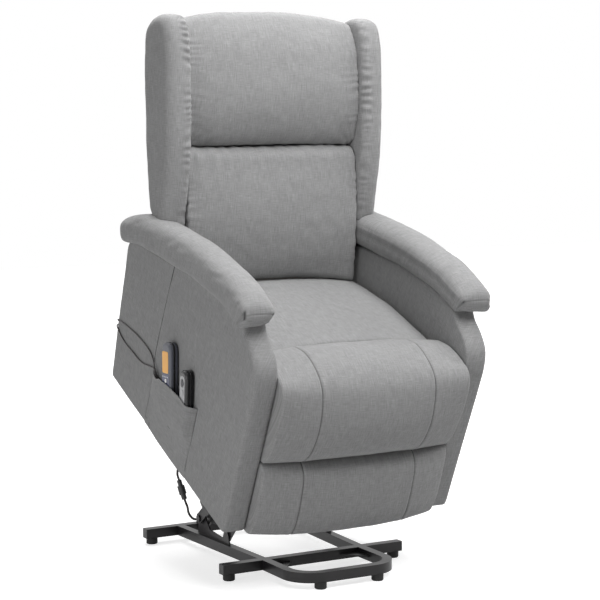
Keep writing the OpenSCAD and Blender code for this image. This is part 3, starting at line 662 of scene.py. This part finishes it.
# ---------------------------------------------------------------- arm pads
pad_st = np.array([
    [106, 533, 98, 537, 0.84, 0.2], [105, 532, 84, 540, 0.85, 0.32],
    [106, 531, 76, 557, 0.86, 0.56], [108, 530, 78, 577, 0.86, 0.8],
    [113, 529, 90, 594, 0.86, 0.85], [128, 528, 112, 604, 0.85, 0.88],
    [150, 528, 137, 610, 0.85, 0.9], [179, 530, 168, 613.5, 0.85, 0.92],
    [212, 531, 209, 615, 0.85, 0.93], [262, 525, 259, 612, 0.86, 0.93],
    [320, 517, 311, 606, 0.87, 0.93], [380, 508.5, 364, 599, 0.88, 0.94],
    [431, 497, 427, 588.5, 0.89, 0.95], [482, 484, 494, 574, 0.91, 0.96],
    [561, 467, 570, 555.5, 0.94, 0.98], [638, 448, 640, 536, 0.97, 1],
    [680, 436.5, 699, 520.5, 1, 1], [715, 424, 738, 501, 1, 1], [742, 412, 768, 482, 0.99, 0.99],
    [764, 403.5, 791, 466, 0.96, 0.96], [776, 401, 803, 453, 0.88, 0.88],
    [783, 402.5, 808, 440, 0.74, 0.74]
])


def catmull(p, m):
    """m points of a smooth curve through p, and their places along it."""
    k = len(p)
    t = np.linspace(0, k - 1, m)
    i = np.clip(t.astype(int), 0, k - 2)
    f = (t - i)[:, None]
    p0, p1, p2, p3 = (p[np.clip(i + j, 0, k - 1)] for j in (-1, 0, 1, 2))
    return 0.5 * (2 * p1 + (p2 - p0) * f + (2 * p0 - 5 * p1 + 4 * p2 - p3) * f ** 2
                  + (3 * p1 - p0 - 3 * p2 + p3) * f ** 3), t


for side_s, nm in ((-1, "left"), (1, "right")):
    st, tt = catmull(pad_st, 168)
    I = 96
    ang = -np.pi / 2 - np.arange(I) * 2 * np.pi / I
    P = np.zeros((len(st), I, 3))
    PX = np.zeros((len(st), I))
    SA = np.zeros((len(st), I))
    for j, r in enumerate(st):
        b_, t_ = r[0:2], r[2:4]
        ca, sa = np.cos(ang), np.sin(ang)
        boxy = 1 - smooth((tt[j] - 3.0) / 3.0)
        e = np.where(sa > 0, 0.7 - 0.3 * boxy, 0.5 - 0.2 * boxy)
        px = (np.sign(ca) * np.abs(ca) ** e * PAD_HALF * np.where(ca > 0, r[5], r[4])
              * (1 - 0.03 * np.maximum(sa, 0)))
        fall = 0.07 * np.maximum(px, 0) / PAD_HALF * sa
        qq = 0.5 + 0.5 * np.sign(sa) * np.abs(sa) ** e - np.where(sa > 0.2, fall, 0)
        h = b_ + (t_ - b_) * np.maximum(qq, 0)[:, None]
        P[j, :, 0] = -PAD_X + px
        P[j, :, 1:] = h
        PX[j], SA[j] = px, sa
    upm = smooth((SA + 0.2) / 0.5)
    a = (2.2 * nz(P, 0.009, 51.0 + side_s) + 0.8 * nz(P, 0.035, 53.0)) * upm
    T = tt[:, None] * np.ones_like(PX)
    # boxed nose: a seam straight across, a slit pleat at the outer corner, a small tuck at the inner one
    PK = PX / (PAD_HALF * np.where(PX > 0, st[:, 5][:, None], st[:, 4][:, None]))
    face = smooth((SA + 0.3) / 0.4)
    nose = np.exp(-((T - 3.0) / 0.07) ** 2) * face
    slit = np.exp(-((PK + 0.9) / 0.07) ** 2) * smooth((T - 2.25) / 0.3) * smooth((3.75 - T) / 0.3) * face
    tuck = np.exp(-((PK - 0.93) / 0.08) ** 2 - ((T - 3.02) / 0.2) ** 2) * face
    a = a - 0.9 * nose - 4.5 * slit - 4.0 * tuck
    gath = (np.sin(PX * 0.3 + 4 * nz(P, 0.02, 57.0)) * np.exp(-np.abs(T - 3.05) / 0.7)
            * (0.4 + nz(P, 0.02, 58.0)))
    a = a + 1.9 * gath * upm
    a = a + 3.0 * nz(P, 0.022, 59.0) * smooth((3.1 - T) / 0.4) * face
    # tension creases over the outer face, gathered along its lower edge
    sidem = np.exp(-((PX + 46) / 9) ** 2) * smooth((T - 4.2) / 1.2)
    cr = np.sin(P[..., 1] * 0.10 + P[..., 2] * 0.16 + 4 * nz(P, 0.012, 61.0)) * nz(P, 0.016, 63.0)
    a = a + 3.0 * cr * sidem
    # topstitched seam along the inner face of the pad
    run = np.exp(-((SA - 0.02) / 0.05) ** 2) * (PX > 20) * smooth((T - 4.4) / 0.5)
    pinch = np.sin(P[..., 1] * 0.16 + 5 * nz(P, 0.01, 65.0)) * np.exp(-((SA + 0.2) / 0.3) ** 2) * (PX > 20)
    a = a - 1.1 * run + 1.6 * pinch * (0.2 + np.abs(nz(P, 0.01, 67.0))) * smooth((T - 4.4) / 0.5)
    # short seam across the rear end
    rear_s = np.exp(-((T - 19.3) / 0.06) ** 2) * (PX < 0) * face
    a = a - 0.8 * rear_s
    # darkening: the nose, inner and rear seams are seam lines; the slit pleat and the tuck get painted
    # shade
    seam_and_pleat_shade = np.maximum(0.35 * nose, np.maximum(0.85 * slit, 0.8 * tuck))
    seam_and_pleat_shade = np.maximum(seam_and_pleat_shade, np.maximum(0.25 * run, 0.3 * rear_s))
    P = P + grid_normals(P) * a[..., None]
    if side_s > 0:
        P = P.copy()
        P[..., 0] *= -1
    make("arm_pad_cover_" + nm, P, chair_w, CLOTH, "chair", "cloth", ["arm_pad_" + nm], seam_and_pleat_shade=seam_and_pleat_shade,
         fill=0.8)


# ---------------------------------------------------------------- rear covers and pocket
cover_line = [[-3.6, -18, 1], [7, -18, 3], [8, 300, 20], [8, 640, 12], [-3.6, 672, 3]]
P = cushion_grid(cover_line, cover_line, 249.6, 4, n=150, n_mid=60)
a = (0.8 * nz(P, 0.01, 71.0) + 0.3 * nz(P, 0.05, 72.0)) * smooth((P[..., 1] - 2) / 3)
P[..., 1] += a
soft("back_cover_cloth", P, back_w, CLOTH_B, "backrest", "cloth_body", ["back_cover"], fill=0.3)

rear_line = [[724, 4, 3], [737, 4, 3], [771, 318, 3], [758, 318, 3]]
P = cushion_grid(rear_line, rear_line, 266.6, 4, n=120, n_mid=60)
soft("rear_panel_cloth", P, chair_w, CLOTH_B, "chair", "cloth_body", ["rear_panel"], fill=0.3)

POCKET_U0, POCKET_U1 = 236.0, 500.0         # front and rear edge
POCKET_FRONT, POCKET_BACK = -329.6, -329.4   # x of its two layers where they lie flat


def mouth_v(u):
    """Height of the pocket's mouth along its width."""
    lift = 10 * smooth((450 - u) / 40)
    mid, rear = 206 - (u - 300) * 0.155, 195 - (u - 371) * 0.248
    return lift + np.where(u < 300, 204 + (u - POCKET_U0) * 0.03, np.where(u < 371, mid, rear))


def bow(t, w, full):
    t = np.clip(t, 0, 1)
    rear = full * 5.66 * np.maximum(t - 0.5, 0) ** 2.5 + (1 - full) * smooth((t - 0.6) / 0.36)
    return np.where(t < w, 1 - (1 - np.minimum(t / w, 1)) ** 2, 1 - rear)


N_FRONT = 70


def pouch(f, d, i, v0, dv, nb=30):
    """One closed row of the pocket at height fraction f, d deep and inset by i."""
    t = np.concatenate([np.linspace(0, 0.07, 14), np.linspace(0.07, 1, N_FRONT - 13)[1:]])
    u = POCKET_U0 + i + (POCKET_U1 - POCKET_U0 - 2 * i) * t
    bulge = bow(t, 0.09 + 0.31 * max(0, 1 - f / 0.6), float(smooth((f - 0.5) / 0.2)))
    x = POCKET_FRONT - i * 0.7 - (d - i * 1.6) * bulge
    a_ = np.column_stack([x, u, v0 + (mouth_v(u) + dv - v0) * f])
    tb = np.linspace(1, 0, nb + 2)[1:-1]
    u = POCKET_U0 + i + (POCKET_U1 - POCKET_U0 - 2 * i) * tb
    b_ = np.column_stack([np.full(nb, POCKET_BACK - i * 0.7), u, v0 + (mouth_v(u) + dv - v0) * f])
    return np.vstack([a_, b_])


POCKET_F = [0, 0.04, 0.2, 0.45, 0.58, 0.7, 0.9, 1]
POCKET_D = [3, 4.5, 8.5, 17.5, 25, 29.6, 30, 29.8]
POCKET_ROWS = np.r_[0, 0.01, 0.03, np.linspace(0.06, 1, 44)]
rows = []
for f in POCKET_ROWS:
    rows.append(pouch(f, np.interp(f, POCKET_F, POCKET_D), 0, 6, 0))
for f in np.r_[1, np.linspace(0.98, 0.02, 24)]:
    rows.append(pouch(f, np.interp(f, POCKET_F, POCKET_D), 2.2, 22, 0))
P = np.array(rows)
outerm = np.zeros(P.shape[:2])
outerm[:len(POCKET_ROWS), :N_FRONT] = 1
outerm *= smooth((-331.5 - P[..., 0]) / 4)
fold = (np.sin((P[..., 1] - 0.25 * P[..., 2]) * 0.075 + 3 * nz(P, 0.008, 83.0))
        * smooth((P[..., 2] - 60) / 70))
a = (2.0 * nz(P, 0.012, 81.0) + 0.8 * nz(P, 0.04, 82.0) + 1.4 * fold) * outerm
P[..., 0] -= a * 0.8
top_seam = np.zeros(P.shape[:2])
for j, f in enumerate(POCKET_ROWS):
    top_seam[j, :N_FRONT] = 0.12 * math.exp(-((f - 0.94) / 0.012) ** 2)
make("side_pocket_cloth", P, chair_w, CLOTH_B, "chair", "cloth_body", ["side_pocket"], seam_and_pleat_shade=top_seam)


# ---------------------------------------------------------------- handsets
def placed_w(u, v, lean):
    a_ = math.radians(lean)
    def go(p):
        p = np.asarray(p, float)
        y = u + p[..., 1] * math.cos(a_) + p[..., 2] * math.sin(a_)
        z = v - p[..., 1] * math.sin(a_) + p[..., 2] * math.cos(a_)
        return chair_w(np.stack([p[..., 0], y, z], -1))
    return go


def rrect(w, l, r, c=(0, 0)):
    x0, x1, y0, y1 = c[0] - w / 2, c[0] + w / 2, c[1] - l / 2, c[1] + l / 2
    return [[x0, y0, r], [x1, y0, r], [x1, y1, r], [x0, y1, r]]


HAND_ROWS = np.array([0, .02, .05, .09, .14, .2, .3, .45, .7, .95])


def hand_piece(name, w, l, r, x_in, x_out, mat, tf, slot_name, repl=(), ro=4.0, ri=4.0, c=(0, 0), n=96):
    """Flat rounded plate w by l with corner radius r, between two faces, placed by tf."""
    P, _ = slab_grid(rrect(w, l, r, c), x_in, x_out, r_out=ro, r_in=ri, crown=0.0, n=n, walls=3,
                     rows=HAND_ROWS)
    return make(name, P, tf, mat, "chair", slot_name, repl, uvs=slab_uv(P))


tf_m = placed_w(387, 228, 23.7)
hand_piece("massage_handset_shell", 50, 158, 23, HANDSET_BACK, -355.4, SLATE, tf_m, "slate",
           ["handset_massage"], ro=6, ri=5)
hand_piece("massage_handset_band", 50.5, 158.4, 23, -340, -347, GLOSS, tf_m, "gloss_black", ro=1, ri=1)
hand_piece("massage_panel_amber", 34, 56, 6, -355.0, -356.1, AMBER, tf_m, "amber",
           ro=0.4, ri=0.3, c=(4, 28))
hand_piece("massage_panel_navy", 42, 44, 8, -355.0, -355.9, NAVY, tf_m, "slate", ro=0.4, ri=0.3, c=(2, -24))
for k in range(4):
    hand_piece("massage_mark_%d" % k, 3.2, 3.2, 1.4, -355.8, -356.3, WHITE, tf_m, "amber",
               ro=0.2, ri=0.2, c=(-10 + 9 * k, -9), n=24)
tf_l = placed_w(284.5, 232.5, 20)
hand_piece("lift_handset_shell", 40, 116, 20, HANDSET_BACK, -355.2, GLOSS, tf_l, "gloss_black",
           ["handset_lift"], ro=6, ri=5)
hand_piece("lift_handset_face", 27, 94, 13.5, -354.6, -355.7, SILVER, tf_l, "button",
           ro=0.5, ri=0.3, c=(2, -3))
hand_piece("lift_button_surround", 15, 22, 7.5, -355.5, -356.1, GLOSS, tf_l, "button",
           ro=0.3, ri=0.2, c=(2, 26))


def tube_piece(name, pts, radii, mat, to_world, body, slot_name, sides=16):
    """A closed round tube along points, with a radius at each."""
    p = np.array(pts, float)
    t = np.gradient(p, axis=0)
    t /= np.linalg.norm(t, axis=1, keepdims=True)
    ref = np.array([0.31, 0.17, 0.93])
    u = np.cross(t, ref)
    u /= np.linalg.norm(u, axis=1, keepdims=True)
    w = np.cross(t, u)
    a_ = np.arange(sides) * 2 * np.pi / sides
    ring = np.cos(a_)[None, :, None] * u[:, None, :] + np.sin(a_)[None, :, None] * w[:, None, :]
    P = p[:, None, :] + np.asarray(radii, float)[:, None, None] * ring
    return make(name, P, to_world, mat, body, slot_name)


def spline_route(route, m=7):
    """Smooth route through the given points, in m steps for each stretch."""
    p, _ = catmull(np.array(route, float), (len(route) - 1) * m + 1)
    return p


# dark tubes along the side panels' upright seams: painted shade in the seam grooves
for side_s, nm in ((-1, "left"), (1, "right")):
    stops = [(329.3, 497, 489), (329.9, 505, 340), (329.9, 509, 212), (329.9, 494, 140),
             (329.9, 479, 78), (329.6, 469, 3)]
    pts = spline_route([(side_s * x, u, v) for x, u, v in stops], 24)
    tube_piece("panel_seam_shade_" + nm, pts, np.full(len(pts), 0.85), SEAM_SHADE_MAT, chair_w, "chair", "cloth_body",
               sides=8)


RELIEF_N = 29


def relief(name, route, at_end, length, r0, r1, mat, to_world, body, slot_name):
    """Ribbed, tapered sleeve over the last stretch of a cord's route; r1 is at the housing."""
    q = np.array(route if at_end else route[::-1], float)
    d = np.r_[0, np.cumsum(np.linalg.norm(np.diff(q, axis=0), axis=1))]
    t = np.linspace(d[-1] - length, d[-1], RELIEF_N)
    pts = np.stack([np.interp(t, d, q[:, k]) for k in range(3)], 1)
    f = np.linspace(0, 1, RELIEF_N)
    rad = (r0 + (r1 - r0) * f) * np.where((np.arange(RELIEF_N) % 4 < 2) & (f < 0.9), 1.0, 0.84)
    rad[0] = r0 * 0.86
    return tube_piece(name, pts, rad, mat, to_world, body, slot_name)


def lead(name, route, r, to_world, body, repl):
    p = to_world(spline_route(route))
    cu = bpy.data.curves.new(name, "CURVE")
    cu.dimensions = "3D"
    cu.bevel_depth = r / 1000
    cu.bevel_resolution = 4
    cu.use_fill_caps = True
    sp = cu.splines.new("POLY")
    sp.points.add(len(p) - 1)
    for k, q in enumerate(p):
        sp.points[k].co = (*q, 1)
    ob = bpy.data.objects.new(name, cu)
    scene.collection.objects.link(ob)
    cu.materials.append(CORD)
    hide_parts(*repl)
    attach(ob, body)
    return ob


hand_piece("lift_handset_band", 40.5, 116.4, 20, -341, -343, GLOSS, tf_l, "gloss_black", ro=1, ri=1)

cord_a = [
    [-254, 757.8, 162.6], [-261, 760.4, 163.4], [-268, 762.3, 164], [-288, 762.7, 165],
    [-308, 762.9, 166], [-319, 762.9, 167], [-328, 759.6, 168.5], [-331.6, 752, 171],
    [-332.2, 744, 174], [-332.2, 734, 178], [-332.2, 702, 186], [-332.2, 669, 192],
    [-332.2, 634, 198], [-332.2, 597, 201], [-332.3, 566, 203], [-332.8, 536, 202],
    [-334.8, 508, 196], [-338.2, 484, 184], [-342, 462, 168], [-344.5, 443, 152],
    [-345.5, 424, 138], [-345, 402, 128], [-345.6, 382, 126], [-345.6, 366, 131],
    [-345.6, 356.5, 141], [-345.6, 353.6, 151]
]
cord_b = [
    [-254, 757.2, 156.4], [-261, 759.6, 155.8], [-268, 761.5, 155.6], [-288, 761.8, 155],
    [-308, 761.8, 154.4], [-319, 761.2, 153.8], [-327.8, 758, 153], [-331.5, 751, 151.8],
    [-332.2, 744, 150.4], [-332.2, 734, 148], [-332.2, 716, 143], [-332.2, 692, 140],
    [-332.2, 665, 140], [-332.2, 628, 142], [-332.2, 589, 144], [-332.4, 560, 150],
    [-333, 534, 160], [-334, 508, 171], [-335, 487, 176], [-336.5, 466, 170], [-338, 446, 151],
    [-340, 432, 133], [-342, 414, 117], [-343.6, 384, 104], [-345, 346, 98], [-345.2, 310, 100],
    [-345, 284, 111], [-344.8, 267, 129], [-344.6, 259.5, 147], [-344.6, 259, 162],
    [-344.6, 263, 177.6]
]
motor = [
    [-219.8, 312, 358], [-214, 313.5, 355], [-212, 321, 338], [-213.5, 338, 302], [-215, 358, 262],
    [-213, 376, 225], [-211.5, 383, 205], [-207, 383, 189], [-195.5, 373.5, 137],
    [-188, 371.5, 115], [-182, 378, 98], [-174, 382, 86], [-164, 385, 77], [-153, 388, 73.5],
    [-144, 390.5, 73.5], [-136.5, 392.5, 76.5], [-129.6, 393.6, 78]
]
lead("cord_massage_cable", cord_a, CORD_R, chair_w, "chair", ["cord_massage"])
lead("cord_lift_cable", cord_b, CORD_R, chair_w, "chair", ["cord_lift"])
lead("motor_lead_cable", motor, LEAD_R, world_w, "actuator", ["motor_lead"])
relief("massage_strain_relief", spline_route(cord_a), True, 15, 2.1, 3.4, PLASTIC,
       chair_w, "chair", "plastic")
relief("lift_strain_relief", spline_route(cord_b), True, 15, 2.1, 3.4, PLASTIC,
       chair_w, "chair", "plastic")
relief("motor_strain_relief", spline_route(motor), True, 24, 3.7, 5.3, PLASTIC,
       world_w, "actuator", "plastic")


# ---------------------------------------------------------------- light, floor and world
def area(name, loc, target, size, watts, size_y=None):
    d = bpy.data.lights.new(name, "AREA")
    d.energy = watts
    d.size = size
    if size_y:
        d.shape = "RECTANGLE"
        d.size_y = size_y
    o_ = bpy.data.objects.new(name, d)
    scene.collection.objects.link(o_)
    o_.location = loc
    o_.rotation_euler = (Vector(target) - Vector(loc)).to_track_quat("-Z", "Y").to_euler()
    return o_


area("softbox_top", (0.25, -0.35, 3.7), (0, 0.05, 0.6), 1.9, 68, 1.9)
area("softbox_top_front", (0.2, -2.2, 3.4), (0, 0, 0.7), 1.8, 86, 1.8)
area("softbox_top_back", (0.1, 1.9, 3.4), (0, 0, 0.9), 1.8, 80, 1.8)
area("softbox_left", (-3.4, -0.9, 0.9), (0, 0, 0.7), 1.8, 37, 1.8)
area("softbox_right", (3.4, -0.8, 2.2), (0, 0, 0.7), 1.8, 56, 1.8)

w = bpy.data.worlds.new("studio")
scene.world = w
w.use_nodes = True
nt = w.node_tree
bg = nt.nodes["Background"]
bg.inputs["Color"].default_value = (0.5, 0.5, 0.5, 1)
bg.inputs["Strength"].default_value = 0.08
bgw = add(nt, "ShaderNodeBackground")
bgw.inputs["Color"].default_value = (1, 1, 1, 1)
bgw.inputs["Strength"].default_value = 1.0
lp = add(nt, "ShaderNodeLightPath")
mxa = add(nt, "ShaderNodeMath", operation="MAXIMUM")
mxb = add(nt, "ShaderNodeMath", operation="MAXIMUM")
nt.links.new(lp.outputs["Is Camera Ray"], mxa.inputs[0])
nt.links.new(lp.outputs["Is Glossy Ray"], mxa.inputs[1])
nt.links.new(mxa.outputs[0], mxb.inputs[0])
nt.links.new(lp.outputs["Is Transmission Ray"], mxb.inputs[1])
mixs = add(nt, "ShaderNodeMixShader")
nt.links.new(mxb.outputs[0], mixs.inputs[0])
nt.links.new(bg.outputs[0], mixs.inputs[1])
nt.links.new(bgw.outputs[0], mixs.inputs[2])
nt.links.new(mixs.outputs[0], nt.nodes["World Output"].inputs["Surface"])

fl = bpy.data.meshes.new("floor")
fl.from_pydata([(-9, -9, 0), (9, -9, 0), (9, 9, 0), (-9, 9, 0)], [], [(0, 1, 2, 3)])
floor = bpy.data.objects.new("floor", fl)
scene.collection.objects.link(floor)
mat, nt, bs = new_mat("pale_floor")
tcf = add(nt, "ShaderNodeTexCoord")
nf = add(nt, "ShaderNodeTexNoise")
nf.inputs["Scale"].default_value = 3
nt.links.new(tcf.outputs["Object"], nf.inputs["Vector"])
rf = add(nt, "ShaderNodeValToRGB")
rf.color_ramp.elements[0].color = (0.54, 0.54, 0.54, 1)
rf.color_ramp.elements[1].color = (0.57, 0.57, 0.57, 1)
nt.links.new(nf.outputs["Fac"], rf.inputs["Fac"])
nt.links.new(rf.outputs[0], bs.inputs["Base Color"])
bs.inputs["Roughness"].default_value = 0.8
bs.inputs["Specular IOR Level"].default_value = 0.1
bs.inputs["Emission Color"].default_value = (1, 1, 1, 1)
lpf = add(nt, "ShaderNodeLightPath")
mf = add(nt, "ShaderNodeMath", operation="MAXIMUM")
mf2 = add(nt, "ShaderNodeMath", operation="MULTIPLY")
nt.links.new(lpf.outputs["Is Camera Ray"], mf.inputs[0])
nt.links.new(lpf.outputs["Is Glossy Ray"], mf.inputs[1])
nt.links.new(mf.outputs[0], mf2.inputs[0])
ln = add(nt, "ShaderNodeVectorMath", operation="LENGTH")
nt.links.new(tcf.outputs["Object"], ln.inputs[0])
mr = add(nt, "ShaderNodeMapRange", interpolation_type="SMOOTHSTEP")
for k, v in (("From Min", 0.9), ("From Max", 2.6), ("To Min", 0.0), ("To Max", 0.5)):
    mr.inputs[k].default_value = v
nt.links.new(ln.outputs["Value"], mr.inputs["Value"])
ad = add(nt, "ShaderNodeMath", operation="ADD")
ad.inputs[0].default_value = 0.72
nt.links.new(mr.outputs[0], ad.inputs[1])
nt.links.new(ad.outputs[0], mf2.inputs[1])
nt.links.new(mf2.outputs[0], bs.inputs["Emission Strength"])
fl.materials.append(mat)

scene.view_settings.view_transform = "Standard"
